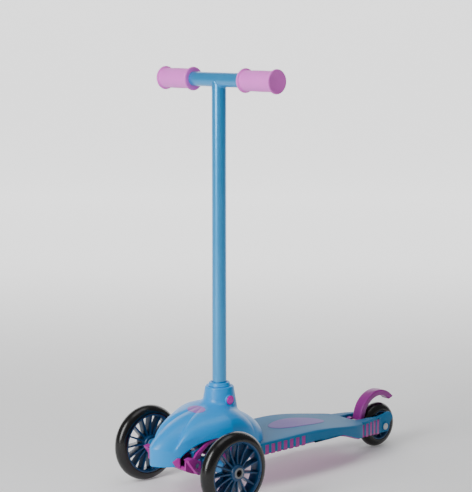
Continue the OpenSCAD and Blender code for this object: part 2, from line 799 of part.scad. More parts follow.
// Shoulder bolt that the front wheel turns on, its head sunk in the outer bush.
module axle_bolt(side) {
    shank_in = kingpin_y + barrel_r + 4;
    head_in = track / 2 + hub_w / 2 + bush_flange_t - 6 + gap;
    color(steel) mirror_y(side) at_front() difference() {
        union() {
            along_y(shank_in, head_in + 0.1, axle_r);
            along_y(head_in, head_in + bolt_head_h, bolt_head_r);
        }
        translate([0, head_in + bolt_head_h - 2.5, 0]) rotate([-90, 0, 0])
            cylinder(r = 2.9, h = 5, $fn = 6);
    }
}

module axle_bolt_left() { axle_bolt(1); }
module axle_bolt_right() { axle_bolt(-1); }

module washer(side) {
    color(steel) mirror_y(side) at_front() difference() {
        along_y(wheel_in - washer_t - 0.2, wheel_in - 0.2, bush_flange_r);
        along_y(0, 200, axle_r);
    }
}

module washer_left() { washer(1); }
module washer_right() { washer(-1); }

module tie_pin(side) {
    color(steel) mirror_y(side) at_kingpin(kingpin_y) translate([-arm_len, 0, arm_low]) {
        cylinder(r = tie_pin_r, h = arm_t + gap + rod_t + gap + 0.1);
        translate([0, 0, arm_t + gap + rod_t + gap]) cylinder(r = 4.2, h = 2);
    }
}

module tie_pin_left() { tie_pin(1); }
module tie_pin_right() { tie_pin(-1); }

module tie_rod() {
    color(steel) at_kingpin() translate([-arm_len, 0, rod_low]) difference() {
        union() {
            translate([-4, -kingpin_y, 0]) cube([8, 2 * kingpin_y, rod_t]);
            both_sides() translate([0, kingpin_y, 0]) cylinder(r = 5.5, h = rod_t);
            translate([-3, -spring_inner + gap, 0])
                cube([6, 2 * (spring_inner - gap), spring_w - rod_low + 4.5]);
        }
        both_sides() translate([0, kingpin_y, -1]) cylinder(r = tie_pin_r + run_fit, h = 20);
    }
}

module centring_springs() {
    color(steel) both_sides() at_kingpin() translate([-arm_len, spring_inner, spring_w])
        rotate([-90, 0, 0]) coil(3.4, 0.6, 6, spring_outer - spring_inner - 0.05);
}

// ---------- Wheels ----------

// Half-round tyre about Y, on a flat seat.
module tyre(r) {
    seat = r - tyre_t;
    half = tyre_w / 2;
    color(black) rotate([-90, 0, 0]) rotate_extrude($fn = 96) intersection() {
        translate([seat, -half]) square([tyre_t + 1, tyre_w]);
        union() {
            translate([r - half, 0]) circle(r = half);
            translate([seat, -half]) square([max(0.01, r - half - seat), tyre_w]);
        }
    }
}

// Rim about Y: outer ring, deep blade spokes and a hub bored for the bushes.
module rim(r, spokes) {
    seat = r - tyre_t;
    ring_in = seat - rim_ring_t;
    half = tyre_w / 2 - 1;
    color(deep_blue) rotate([-90, 0, 0]) difference() {
        union() {
            translate([0, 0, -half]) difference() {
                cylinder(r = seat, h = 2 * half);
                translate([0, 0, -1]) cylinder(r = ring_in, h = 2 * half + 2);
            }
            cylinder(r = hub_r, h = hub_w, center = true);
            for (k = [0:spokes - 1]) rotate([90, 0, 360 * k / spokes])
                translate([0, 0, -spoke_t / 2]) linear_extrude(height = spoke_t)
                    polygon([[hub_r - 1, -hub_w / 2 + 2], [ring_in + 1, -half + 3],
                        [ring_in + 1, half - 3], [hub_r - 1, hub_w / 2 - 2]]);
        }
        cylinder(r = bush_body_r, h = 100, center = true);
    }
}

// Two flanged bushes; a sunk recess in the outer one takes the bolt's head.
module wheel_bushes(recess) {
    for (end = [1, -1]) mirror_y(end) difference() {
        union() {
            along_y(hub_w / 2, hub_w / 2 + bush_flange_t, bush_flange_r);
            along_y(hub_w / 2 - bush_len, hub_w / 2, bush_body_r);
        }
        along_y(-1, 100, axle_r + run_fit);
        if (recess && end == 1) along_y(hub_w / 2 + bush_flange_t - 6, 100, bolt_head_r + 0.2);
    }
}

module at_wheel(side) { mirror_y(side) at_front() translate([0, track / 2, 0]) children(); }

module rim_left() { at_wheel(1) rim(front_r, front_spokes); }
module rim_right() { at_wheel(-1) rim(front_r, front_spokes); }
module tyre_left() { at_wheel(1) tyre(front_r); }
module tyre_right() { at_wheel(-1) tyre(front_r); }
module wheel_bushes_left() { color(steel) at_wheel(1) wheel_bushes(true); }
module wheel_bushes_right() { color(steel) at_wheel(-1) wheel_bushes(true); }
module rear_rim() { at_rear() rim(rear_r, rear_spokes); }
module rear_tyre() { at_rear() tyre(rear_r); }
module rear_bushes() { color(steel) at_rear() wheel_bushes(false); }

module rear_axle() {
    head_in = axle_half - head_sink;
    color(steel) at_rear() {
        along_y(-head_in - head_sink, head_in + 0.1, axle_r);
        along_y(head_in, head_in + head_sink - 0.2, head_room_r - 0.5);
    }
}

module rear_axle_nut() {
    color(steel) at_rear() mirror([0, 1, 0]) difference() {
        translate([0, axle_half - head_sink, 0]) rotate([-90, 0, 0])
            cylinder(r = head_room_r - 0.1, h = head_sink - 0.2, $fn = 6);
        along_y(0, 60, axle_r);
    }
}

module rear_spacers() {
    color(steel) at_rear() both_sides() difference() {
        along_y(fork_spacer_in, fork_in, bush_flange_r);
        along_y(0, 60, axle_r);
    }
}

// ---------- Brake ----------

// Crescent between two circles, thick at its foot and thin at its raised tip.
module fender_profile() {
    k = rear_r / 38;
    difference() {
        intersection() {
            translate([15, 14] * k) circle(r = 52.5 * k, $fn = 120);
            polygon([[39.5, 14], [66, 16], [90, 30], [60, 90], [-22, 90], [-27, 52], [-22, 44],
                [0, 40], [30, 20]] * k);
        }
        translate([3.2, 18.5] * k) circle(r = 33.2 * k, $fn = 96);
    }
}

module brake_fender() {
    half = fender_w / 2;
    pin = fender_pin;
    coil_half = 6;
    color(pink) at_rear() difference() {
        union() {
            translate([0, half, 0]) rotate([90, 0, 0]) linear_extrude(height = fender_w)
                fender_profile();
            translate([pin[0], 0, pin[1]]) along_y(-half, half, fender_barrel_r);
        }
        translate([pin[0], 0, pin[1]]) along_y(-60, 60, brake_pin_r + run_fit);
        translate([pin[0], 0, pin[1]]) along_y(-coil_half - 0.5, coil_half + 0.5, 6.2);
        translate([pin[0] - 10, -coil_half - 0.5, pin[1] - 10])
            cube([20, 2 * coil_half + 1, 10]);
    }
}

module brake_pin() {
    color(steel) at_rear() translate([fender_pin[0], 0, fender_pin[1]])
        along_y(-27, 27, brake_pin_r);
}

module brake_spring() {
    color(steel) at_rear() translate([fender_pin[0], -6, fender_pin[1]]) rotate([-90, 0, 0])
        coil(4.4, 0.7, 7, 12);
}

// ---------- Release button ----------

module at_button() { at_column() translate([0, 0, button_z]) children(); }

module release_button() {
    shoulder = socket_r + 6.2;
    face = neck_r(button_z) + 0.6;
    color(pink) at_button() {
        along_y(shoulder - 2, shoulder - 0.1, button_d / 2 + 1);
        along_y(shoulder - 0.2, face, button_d / 2);
        translate([0, face - 0.1, 0]) rotate([-90, 0, 0]) cylinder(r1 = button_d / 2,
            r2 = button_d / 2 - 1.5, h = 1.5);
        along_y(tube_r + button_travel + 0.15, shoulder - 1, pin_r - 0.2);
    }
}

module lock_pin() {
    bore_in = sqrt(pow(tube_r - tube_t, 2) - pow(5.8, 2)) - 0.2;
    color(steel) at_button() {
        along_y(bore_in - 1.8, bore_in, 5.8);
        along_y(bore_in - 1, tube_r + button_travel, pin_r);
    }
}

module lock_spring() {
    bore_in = sqrt(pow(tube_r - tube_t, 2) - pow(5.8, 2)) - 2.05;
    back = sqrt(pow(tube_r - tube_t, 2) - pow(3.6, 2)) - 0.1;
    color(steel) at_button() translate([0, -back, 0]) rotate([-90, 0, 0])
        coil(3, 0.5, 5, bore_in + back);
}

deck_top();
deck_base();
foot_pad();
deck_screws();
hood();
hood_badge();
neck_collar();
column_socket();
steering_column();
column_foot();
crossbar();
grip_left();
grip_right();
front_tray();
steering_bridge();
bridge_screws();
tray_screws();
kingpins();
kingpin_nuts();
knuckle_left();
knuckle_bushes_left();
axle_bolt_left();
washer_left();
tie_pin_left();
knuckle_right();
knuckle_bushes_right();
axle_bolt_right();
washer_right();
tie_pin_right();
tie_rod();
centring_springs();
rim_left();
tyre_left();
wheel_bushes_left();
rim_right();
tyre_right();
wheel_bushes_right();
rear_rim();
rear_tyre();
rear_bushes();
rear_axle();
rear_axle_nut();
rear_spacers();
brake_fender();
brake_pin();
brake_spring();
release_button();
lock_pin();
lock_spring();
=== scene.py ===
"""Finish model of a toddler's lean-to-steer kick scooter.

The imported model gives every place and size. Moulded shells, tyres, rims, grips and tubes are
worked out here as smooth surfaces, each on the body of the piece that it stands for. Shapes
are in millimetres in the frame of the part, and are turned to metres when a mesh is made.
"""

import json

import bmesh
import bpy
import numpy as np
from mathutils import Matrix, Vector


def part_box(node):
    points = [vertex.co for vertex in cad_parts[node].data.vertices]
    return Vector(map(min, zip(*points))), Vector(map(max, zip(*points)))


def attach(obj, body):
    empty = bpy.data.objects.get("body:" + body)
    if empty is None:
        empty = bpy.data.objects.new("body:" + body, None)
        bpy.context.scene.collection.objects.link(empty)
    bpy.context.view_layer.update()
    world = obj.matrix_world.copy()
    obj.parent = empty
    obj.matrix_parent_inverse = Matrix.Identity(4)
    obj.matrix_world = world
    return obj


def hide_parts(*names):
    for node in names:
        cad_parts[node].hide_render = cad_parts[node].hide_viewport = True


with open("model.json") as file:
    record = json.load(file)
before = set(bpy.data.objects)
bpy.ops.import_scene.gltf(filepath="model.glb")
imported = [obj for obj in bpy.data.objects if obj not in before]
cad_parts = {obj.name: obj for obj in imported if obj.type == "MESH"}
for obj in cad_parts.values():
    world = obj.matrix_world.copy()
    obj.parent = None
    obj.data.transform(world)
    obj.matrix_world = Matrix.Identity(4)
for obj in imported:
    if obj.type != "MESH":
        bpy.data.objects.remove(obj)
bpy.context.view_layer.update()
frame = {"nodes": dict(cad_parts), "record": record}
MM = 0.001


def node_box(node):
    """Lowest and highest corner of a CAD node, in millimetres."""
    low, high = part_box(node)
    return np.array(low) / MM, np.array(high) / MM


# ---------------------------------------------------------------- places and sizes
tyre_low, tyre_high = node_box("tyre_left")
FRONT_X = (tyre_low[0] + tyre_high[0]) / 2
FRONT_R = (tyre_high[0] - tyre_low[0]) / 2
FRONT_Z = (tyre_low[2] + tyre_high[2]) / 2
WHEEL_Y = (tyre_low[1] + tyre_high[1]) / 2
TYRE_HALF = (tyre_high[1] - tyre_low[1]) / 2
rear_low, rear_high = node_box("rear_tyre")
REAR_X = (rear_low[0] + rear_high[0]) / 2
REAR_R = (rear_high[0] - rear_low[0]) / 2
REAR_Z = (rear_low[2] + rear_high[2]) / 2
column_low, column_high = node_box("steering_column")
COLUMN_X = (column_low[0] + column_high[0]) / 2
TUBE_R = (column_high[0] - column_low[0]) / 2
bar_low, bar_high = node_box("crossbar")
BAR_Z = (bar_low[2] + bar_high[2]) / 2
grip_low, grip_high = node_box("grip_left")
DECK_HALF = node_box("deck_top")[1][1]
hood_high = node_box("hood")[1]
collar_low, collar_high = node_box("neck_collar")
fender_high = node_box("brake_fender")[1]
button_low, button_high = node_box("release_button")

# ---------------------------------------------------------------- materials


def linear(hex_colour):
    """Linear RGBA of an sRGB hex colour."""
    value = np.array([int(hex_colour[i : i + 2], 16) for i in (1, 3, 5)]) / 255
    low = value / 12.92
    high = ((value + 0.055) / 1.055) ** 2.4
    return (*np.where(value <= 0.04045, low, high).tolist(), 1.0)


def node(tree, kind, settings=None, links=None):
    """Adds a shader node, sets its fields and input values, and links its inputs."""
    made = tree.nodes.new(kind)
    for name, value in (settings or {}).items():
        if hasattr(made, name):
            setattr(made, name, value)
        else:
            made.inputs[name].default_value = value
    for name, source in (links or {}).items():
        tree.links.new(source, made.inputs[name])
    return made


def finish_material(name, tones, patch_mm, roughness, grain_mm, grain_depth_mm, shader):
    """A surface whose colour drifts between two tones and whose skin has a fine grain.

    patch_mm is how wide the drifting patches are, roughness the lowest and highest value
    over them, grain_mm the spacing of the grain and grain_depth_mm its height.
    """
    material = bpy.data.materials.new(name)
    material.use_nodes = True
    tree = material.node_tree
    tree.nodes.clear()
    place = node(tree, "ShaderNodeTexCoord").outputs["Object"]
    patches = node(
        tree,
        "ShaderNodeTexNoise",
        {"Scale": 1 / (patch_mm * MM), "Detail": 3.0, "Roughness": 0.55},
        {"Vector": place},
    ).outputs["Fac"]
    colour = node(
        tree,
        "ShaderNodeMix",
        {"data_type": "RGBA"},
        {"Factor": patches},
    )
    # The two colour sockets share the names of the number sockets, so they go by place.
    colour.inputs[6].default_value = linear(tones[0])
    colour.inputs[7].default_value = linear(tones[1])
    rough = node(
        tree,
        "ShaderNodeMapRange",
        {"To Min": roughness[0], "To Max": roughness[1]},
        {"Value": patches},
    ).outputs["Result"]
    grain = node(
        tree,
        "ShaderNodeTexNoise",
        {"Scale": 1 / (grain_mm * MM), "Detail": 2.0},
        {"Vector": place},
    ).outputs["Fac"]
    bump = node(
        tree,
        "ShaderNodeBump",
        {"Strength": 1.0, "Distance": grain_depth_mm * MM},
        {"Height": grain},
    ).outputs["Normal"]
    surface = node(
        tree,
        "ShaderNodeBsdfPrincipled",
        shader,
        {"Base Color": colour.outputs[2], "Roughness": rough, "Normal": bump},
    ).outputs["BSDF"]
    node(tree, "ShaderNodeOutputMaterial", links={"Surface": surface})
    return material


# Injection moulded polypropylene from a polished mould: a clear gloss over a slightly
# clouded colour, with the faint orange peel of the steel.
MOULDED = {"IOR": 1.45, "Coat Weight": 0.08, "Coat Roughness": 0.15}
shell_blue = finish_material(
    "moulded_polypropylene_blue", ("#008edb", "#0098e4"), 60, (0.33, 0.40), 1.6, 0.012, MOULDED
)
# The same plastic from a textured mould: no clear gloss, and a rougher skin that greys the blue.
deck_blue = finish_material(
    "moulded_polypropylene_deck_blue", ("#0f699a", "#1472a3"), 45, (0.52, 0.6), 1.3, 0.03,
    {"IOR": 1.42}
)
# Polished mould again, a little shinier than the hood. Its pink is deeper than the button's,
# partly as painted shade for the shadow under the hood and the deck.
lower_pink_painted_shade = finish_material(
    "moulded_polypropylene_pink_painted_shade", ("#9c1c88", "#a82494"), 40, (0.28, 0.36), 1.4, 0.015, MOULDED
)
# Nylon that a foot rubs: a thin gloss over a soft, darker red-violet.
brake_magenta = finish_material(
    "moulded_nylon_magenta", ("#8f1c86", "#991f8f"), 30, (0.34, 0.42), 1.1, 0.02,
    {"IOR": 1.53, "Coat Weight": 0.1, "Coat Roughness": 0.2},
)
# Deep navy nylon; its low roughness draws thin bright lines along the spokes.
rim_blue = finish_material(
    "moulded_nylon_wheel_blue", ("#053a63", "#08446e"), 25, (0.24, 0.32), 1.2, 0.012, MOULDED
)
# Glass fibres at the skin make it dull, with a coarse grain.
steering_nylon = finish_material(
    "moulded_glass_filled_nylon_blue", ("#1c669c", "#2370a6"), 22, (0.38, 0.5), 0.9, 0.03,
    {"IOR": 1.53},
)
# Matt foot inlay: high roughness and a fine grain.
pad_lilac = finish_material(
    "soft_inlay_lilac", ("#7a62ae", "#846cb6"), 18, (0.55, 0.65), 0.8, 0.03, {"IOR": 1.5}
)
# Thin printed film: smooth, with small clouds that stand for the print.
badge_mauve = finish_material(
    "printed_film_mauve", ("#8a5cb4", "#a064b2"), 9, (0.3, 0.38), 0.8, 0.006, {"IOR": 1.5}
)
# Small polished moulding: the brightest colour and the sharpest highlight.
button_pink = finish_material(
    "moulded_abs_pink", ("#d21fb4", "#dc28bd"), 12, (0.2, 0.28), 1.0, 0.006, MOULDED
)
# Thermoplastic rubber: soft sheen, no mirror, a fine sand-blasted grain.
grip_pink = finish_material(
    "thermoplastic_rubber_pink", ("#e566d8", "#ea72dd"), 30, (0.46, 0.56), 0.7, 0.04,
    {"IOR": 1.5, "Sheen Weight": 0.15, "Sheen Roughness": 0.5},
)
# Cast polyurethane, buffed: black, and wet-looking where a light meets it.
tyre_black = finish_material(
    "cast_polyurethane_black", ("#050505", "#0a0909"), 20, (0.2, 0.3), 1.5, 0.012, {"IOR": 1.5}
)
# Metallic powder coat on steel tube: a tinted metal base under a clear lacquer.
tube_paint = finish_material(
    "metallic_powder_coat_blue", ("#2390cf", "#2e9bd8"), 50, (0.26, 0.34), 0.9, 0.008,
    {"Metallic": 0.45, "Coat Weight": 0.6, "Coat Roughness": 0.08},
)
# Bright metal whose roughness drifts over a few millimetres, as plating does.
zinc = finish_material(
    "zinc_plated_steel", ("#9b9da2", "#b3b4b8"), 6, (0.28, 0.42), 0.5, 0.01, {"Metallic": 1.0}
)
# Steel made nearly black with a dull shine, as painted shade: it makes the middle of each hub
# read as a dark recess.
bolt_black_painted_shade = finish_material(
    "near_black_steel_painted_recess_shade", ("#17171a", "#222226"), 5, (0.34, 0.46), 0.5, 0.01, {"Metallic": 0.8}
)
# Slippery bearing plastic: even mid grey, half matt.
bush_grey = finish_material(
    "moulded_acetal_grey", ("#77797c", "#828487"), 8, (0.38, 0.5), 0.6, 0.01, {"IOR": 1.48}
)
# Unpainted nylon of the inner parts: black and matt.
black_nylon = finish_material(
    "moulded_nylon_black", ("#141415", "#1c1c1e"), 10, (0.42, 0.52), 0.7, 0.02, {"IOR": 1.53}
)

# ---------------------------------------------------------------- making meshes


def grid_faces(rows, columns, close_rows=False, close_columns=True):
    """Quads of a grid of points, row after row, each row along its columns."""
    i = np.arange(rows if close_rows else rows - 1)
    j = np.arange(columns if close_columns else columns - 1)
    i, j = (g.ravel() for g in np.meshgrid(i, j, indexing="ij"))
    below, right = (i + 1) % rows, (j + 1) % columns
    return np.stack(
        [i * columns + j, i * columns + right, below * columns + right, below * columns + j], 1
    )


def tube_faces(rows, columns):
    """Quads of a tube of closed sections, and a face over each of its two ends."""
    quads = grid_faces(rows, columns).tolist()
    return quads + [list(range(columns)), list(range((rows - 1) * columns, rows * columns))]


def merged(parts):
    """One list of points and one of faces from several (points, faces)."""
    points, faces, start = [], [], 0
    for part_points, part_faces in parts:
        points.append(part_points)
        faces.extend([int(k) + start for k in face] for face in part_faces)
        start += len(part_points)
    return np.concatenate(points), faces


def linked(name, data):
    """A new object of some data, put in the scene."""
    made = bpy.data.objects.new(name, data)
    bpy.context.scene.collection.objects.link(made)
    return made


def piece(name, points, faces, body, slot, material, replaces=(), sharp_deg=40):
    """A mesh piece from points in millimetres that rides on a body and takes the given material.
    """
    mesh = bpy.data.meshes.new(name)
    mesh.from_pydata((np.asarray(points, float) * MM).tolist(), [], [list(f) for f in faces])
    mesh.validate()
    work = bmesh.new()
    work.from_mesh(mesh)
    bmesh.ops.remove_doubles(work, verts=work.verts, dist=1e-6)
    bmesh.ops.recalc_face_normals(work, faces=work.faces)
    work.to_mesh(mesh)
    work.free()
    mesh.shade_smooth()
    mesh.set_sharp_from_angle(angle=np.radians(sharp_deg))
    mesh.materials.append(material)
    made = linked(name, mesh)
    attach(made, body)
    if replaces:
        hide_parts(*replaces)
    return made


def revolve(profile, centre, axis="y", turns=96):
    """Surface of a closed profile turned about an axis through centre.

    profile is (place along the axis, radius) pairs; a point at angle a is centre + place
    along the axis + radius * (cos a, sin a) across it.
    """
    profile = np.asarray(profile, float)
    a = np.linspace(0, 2 * np.pi, turns, endpoint=False)
    along = np.repeat(profile[:, :1], turns, 1)
    across = profile[:, 1:] * np.cos(a), profile[:, 1:] * np.sin(a)
    if axis == "y":
        points = np.stack([across[0], along, across[1]], -1)
    else:
        points = np.stack([across[0], across[1], along], -1)
    return points.reshape(-1, 3) + np.asarray(centre, float), grid_faces(
        len(profile), turns, close_rows=True
    )


def arc(centre, radius, start_deg, end_deg, steps):
    """Points centre + radius * (cos a, sin a), with a from start to end."""
    a = np.radians(np.linspace(start_deg, end_deg, steps))
    return np.asarray(centre) + radius * np.stack([np.cos(a), np.sin(a)], 1)


def plate(outline, low, high, edge_r):
    """Points and faces of a flat closed outline in XZ, carried along Y with rounded edges.

    Near an end the outline is drawn in by edge_r * (1 - sin t) while Y moves by
    edge_r * (1 - cos t), t from 0 to 90 degrees.
    """
    outline = np.asarray(outline, float)
    following, before = np.roll(outline, -1, 0), np.roll(outline, 1, 0)
    area = np.sum(outline[:, 0] * following[:, 1] - following[:, 0] * outline[:, 1])
    tangent = following - before
    outward = np.stack([tangent[:, 1], -tangent[:, 0]], 1) * np.sign(area)
    outward /= np.maximum(np.linalg.norm(outward, axis=1, keepdims=True), 1e-9)
    t = np.linspace(0, np.pi / 2, 4)
    ends = np.stack([edge_r * (1 - np.cos(t)), edge_r * (1 - np.sin(t))], 1)
    middle = np.linspace(low + edge_r, high - edge_r, 9)[1:-1]
    places = np.concatenate([low + ends[:, 0], middle, (high - ends[:, 0])[::-1]])
    insets = np.concatenate([ends[:, 1], np.zeros(len(middle)), ends[::-1, 1]])
    flat = outline[None] - outward[None] * insets[:, None, None]
    points = np.stack(
        [flat[..., 0], np.repeat(places[:, None], len(outline), 1), flat[..., 1]], -1
    )
    return points.reshape(-1, 3), tube_faces(len(places), len(outline))


def softened(node_name, body, material, width_mm):
    """A merged copy of a CAD node whose hard edges are rounded by a bevel."""
    source = frame["nodes"][node_name]
    mesh = source.data.copy()
    work = bmesh.new()
    work.from_mesh(mesh)
    bmesh.ops.remove_doubles(work, verts=work.verts, dist=2e-6)
    bmesh.ops.dissolve_limit(
        work, angle_limit=np.radians(1.0), verts=work.verts, edges=work.edges
    )
    work.to_mesh(mesh)
    work.free()
    mesh.shade_smooth()
    mesh.materials.clear()
    mesh.materials.append(material)
    made = linked(f"{node_name}_soft", mesh)
    bevel = made.modifiers.new("edges", "BEVEL")
    bevel.limit_method = "ANGLE"
    bevel.angle_limit = np.radians(35)
    bevel.width = width_mm * MM
    bevel.segments = 2
    bevel.harden_normals = True
    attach(made, body)
    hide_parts(node_name)


# ---------------------------------------------------------------- hood and neck
HOOD_X = FRONT_X - 36
NOSE_LEN = hood_high[0] - FRONT_X + 36 + 2.2
FLANK_LEN = NOSE_LEN + 38
SIDE_HALF, FLANK_HALF = 75.0, 67.0
HOOD_REAR = 92.0
CROWN_Z = FRONT_Z + 72.5
NOSE_EDGE_Z = FRONT_Z - 2
CHIN_H = 27.0
SHOULDER_H = 7.5
SHOULDER_X, SHOULDER_LEN = -50, 22
# Powers of the rounded joins, and how far the crest of the crown is softened.
NOSE_POWER, BACK_POWER, CROWN_POWER = 6.5, 2.7, 1.3
CREST_SOFT = 0.12
# The dome falls as (1 - v ** power) ** root; these are its values across, ahead and behind.
DOME_ACROSS, DOME_AHEAD, DOME_BEHIND = (3.34, 1 / 3.34), (1.85, 0.8), (1.8, 1 / 1.8)
ARCH_X, ARCH_Z, ARCH_LEN, ARCH_H = FRONT_X - 24, FRONT_Z - 9.8, 72.0, 48.4
DECK_Z = FRONT_Z + 15
NECK_FOOT_R, NECK_TOP_R = 28.0, 22.0
NECK_FOOT_Z, NECK_TOP_Z = FRONT_Z + 66, collar_low[2]


def power_join(terms, power):
    """1 / (sum of terms ** power) ** (1 / power), a rounded smallest of the reciprocals."""
    return sum(t**power for t in terms) ** (-1 / power)


SIDE_R = power_join([1 / SIDE_HALF, 1 / FLANK_HALF], NOSE_POWER)


def hood_outline(a):
    """Distance of the hood's lower outline from its centre at angle a, 0 pointing forward.

    Ahead it joins a nose line, a side line and a slanting flank; behind it is a superellipse.
    """
    c, s = np.cos(a), np.abs(np.sin(a))
    ahead = np.maximum(c, 1e-9)
    slant = ahead / FLANK_LEN + s / FLANK_HALF
    front = power_join([ahead / NOSE_LEN, s / SIDE_HALF, slant], NOSE_POWER)
    behind = power_join([np.maximum(-c, 1e-9) / HOOD_REAR, s / SIDE_R], BACK_POWER)
    return np.where(c > 0, front, behind)


def crown_outline(a):
    """Outline that the crown follows: a pointed oval ahead, the lower outline behind.

    |sin a| is replaced by a hyperbola that is level at a = 0, so that the crest is soft.
    """
    c, full = np.cos(a), np.hypot(1, CREST_SOFT) - CREST_SOFT
    s = (np.hypot(np.sin(a), CREST_SOFT) - CREST_SOFT) / full
    front = power_join([np.maximum(c, 1e-9) / (0.98 * NOSE_LEN), s / SIDE_R], CROWN_POWER)
    return np.where(c > 0, front, hood_outline(a))


def hood_edge(a):
    """Height of the lower edge: level at the nose and on the deck, an arch over each wheel."""
    x = HOOD_X + hood_outline(a) * np.cos(a)
    t = np.clip((x - ARCH_X) / ARCH_LEN, -1, 1)
    arch = ARCH_Z + ARCH_H * np.sqrt(1 - t**2)
    return np.maximum(arch, np.where(x > ARCH_X, NOSE_EDGE_Z, DECK_Z))


def hood_brow(a):
    """Height where the upright chin ends and the dome begins."""
    return hood_edge(a) + np.maximum(CHIN_H * np.maximum(0, np.cos(a)) ** 4, 0.8)


def dome_height(a, v):
    """Height of the dome at angle a and share v of the way from its middle to its outline."""
    c = np.cos(a)
    power, root = (
        DOME_ACROSS[k] + (np.where(c > 0, DOME_AHEAD[k], DOME_BEHIND[k]) - DOME_ACROSS[k]) * c**2
        for k in (0, 1)
    )
    brow = hood_brow(a)
    ahead = HOOD_X + dome_radius(a, v) * c - FRONT_X
    v = np.clip(v, 0, 1)
    swell = np.exp(-(((ahead - SHOULDER_X) / SHOULDER_LEN) ** 2)) * (1 - v**2) ** 2
    return brow + (CROWN_Z - brow) * np.maximum(0, 1 - v**power) ** root + SHOULDER_H * swell


def dome_radius(a, v):
    """Plan distance from the centre at a share v: from the crown's outline to the lower one."""
    crown, low = crown_outline(a), hood_outline(a)
    return (crown + (low - crown) * v**3) * v


def halve(inside, low, high, steps=36):
    """The place between low and high where inside(place) turns false, by halving."""
    for _ in range(steps):
        middle = (low + high) / 2
        within = inside(middle)
        low, high = np.where(within, middle, low), np.where(within, high, middle)
    return (low + high) / 2


def from_neck(ray, distance):
    """Angle and distance from the hood's centre of a point at a distance from the neck."""
    dx = COLUMN_X - HOOD_X + distance * np.cos(ray)
    dy = distance * np.sin(ray)
    return np.arctan2(dy, dx), np.hypot(dx, dy)


def height_from_neck(ray, distance):
    """Height of the dome at a distance from the neck's axis."""
    a, d = from_neck(ray, distance)
    v = halve(lambda share: dome_radius(a, share) < d, np.zeros_like(d), np.full_like(d, 1.0))
    return dome_height(a, v)


def neck_r(z):
    """Radius of the conical neck at a height."""
    return NECK_FOOT_R + (NECK_TOP_R - NECK_FOOT_R) * (z - NECK_FOOT_Z) / (
        NECK_TOP_Z - NECK_FOOT_Z
    )


def hood_shell():
    """Rings around the neck's axis: flat top, rounded lip, cone, fillet, dome, chin.

    The fillet is a quadratic Bezier curve from the cone, over the place where cone and dome
    meet, to the dome. On each ray the dome's points lie at shares v = sin t of the way out.
    """
    rays = np.linspace(0, 2 * np.pi, 288, endpoint=False)
    ahead = np.maximum(0, np.cos(rays)) ** 2
    meet_r = halve(
        lambda d: height_from_neck(rays, d) < NECK_FOOT_Z + 6 * (NECK_FOOT_R - d),
        np.full_like(rays, 18.0),
        np.full_like(rays, 36.0),
    )
    meet_z = height_from_neck(rays, meet_r)
    rings = []
    lip = 2.2
    lip_z = NECK_TOP_Z - lip
    lip_r = neck_r(lip_z) - lip * 1.014
    rings += [(np.full_like(rays, r), np.full_like(rays, NECK_TOP_Z)) for r in (12.2, 16.0, 19.0)]
    for t in np.radians(np.linspace(90, 9.5, 6)):
        rings.append(
            (
                np.full_like(rays, lip_r + lip * np.cos(t)),
                np.full_like(rays, lip_z + lip * np.sin(t)),
            )
        )
    fillet_z = meet_z + 5 + ahead
    out_r = meet_r + 6 + 3 * ahead
    out_z = height_from_neck(rays, out_r)
    for t in np.linspace(0.08, 1, 10):
        z = lip_z + (fillet_z - lip_z) * t
        rings.append((neck_r(z), z))
    for t in np.linspace(0, 1, 12)[1:]:
        steep, middle, flat = (1 - t) ** 2, 2 * t * (1 - t), t**2
        rings.append(
            (
                steep * neck_r(fillet_z) + middle * meet_r + flat * out_r,
                steep * fillet_z + middle * meet_z + flat * out_z,
            )
        )
    a, d = from_neck(rays, out_r)
    first = halve(lambda share: dome_radius(a, share) < d, np.zeros_like(d), np.ones_like(d))
    start = np.arcsin(np.clip(first, 0, 1))
    for t in np.linspace(0, 1, 72)[1:]:
        share = np.sin(start + (np.pi / 2 - start) * t)
        reach = halve(
            lambda r: from_neck(rays, r)[1] < dome_radius(from_neck(rays, r)[0], share),
            out_r,
            np.full_like(rays, 260.0),
        )
        a = from_neck(rays, reach)[0]
        rings.append((reach, dome_height(a, share)))
    reach, a = rings[-1][0], from_neck(rays, rings[-1][0])[0]
    for t in np.linspace(0, 1, 8)[1:]:
        rings.append((reach, hood_brow(a) + (hood_edge(a) - hood_brow(a)) * t))
    r, z = (np.array([ring[k] for ring in rings]) for k in (0, 1))
    points = np.stack([COLUMN_X + r * np.cos(rays), r * np.sin(rays), z], -1)
    return points.reshape(-1, 3), grid_faces(len(rings), len(rays))


def thickened(made, thickness_mm, edge_mm):
    """Gives a surface a wall on its inner side, with its edges slightly rounded."""
    wall = made.modifiers.new("wall", "SOLIDIFY")
    wall.thickness = thickness_mm * MM
    wall.offset = -1
    wall.use_even_offset = True
    edge = made.modifiers.new("edges", "BEVEL")
    edge.limit_method = "ANGLE"
    edge.angle_limit = np.radians(50)
    edge.width = edge_mm * MM
    edge.segments = 2


BUTTON_Z = (button_low[2] + button_high[2]) / 2
BUTTON_R = 7.0
BEZEL_R = BUTTON_R + 1.5

points, faces = hood_shell()
face_middle = points[faces].mean(1)
off_button = np.hypot(face_middle[:, 0] - COLUMN_X, face_middle[:, 2] - BUTTON_Z)
faces = faces[(off_button > BUTTON_R + 0.7) | (face_middle[:, 1] < 0)]
hood = piece("hood_shell", points, faces, "chassis", "blue_shell", shell_blue, ("hood",), 50)
thickened(hood, 2.4, 0.5)

# Short collar around the button, which also lines its hole.
bezel_face = button_high[1] - 1.1
bezel = [
    (bezel_face - 9, BUTTON_R + 0.15),
    (bezel_face - 0.5, BUTTON_R + 0.15),
    (bezel_face, BUTTON_R + 0.6),
    (bezel_face, BEZEL_R - 0.5),
    (bezel_face - 0.6, BEZEL_R),
    (bezel_face - 9, BEZEL_R),
]
piece(
    "button_bezel",
    *revolve(bezel, (COLUMN_X, 0, BUTTON_Z), "y", 64),
    "chassis",
    "blue_shell",
    shell_blue,
)

# ---------------------------------------------------------------- badge


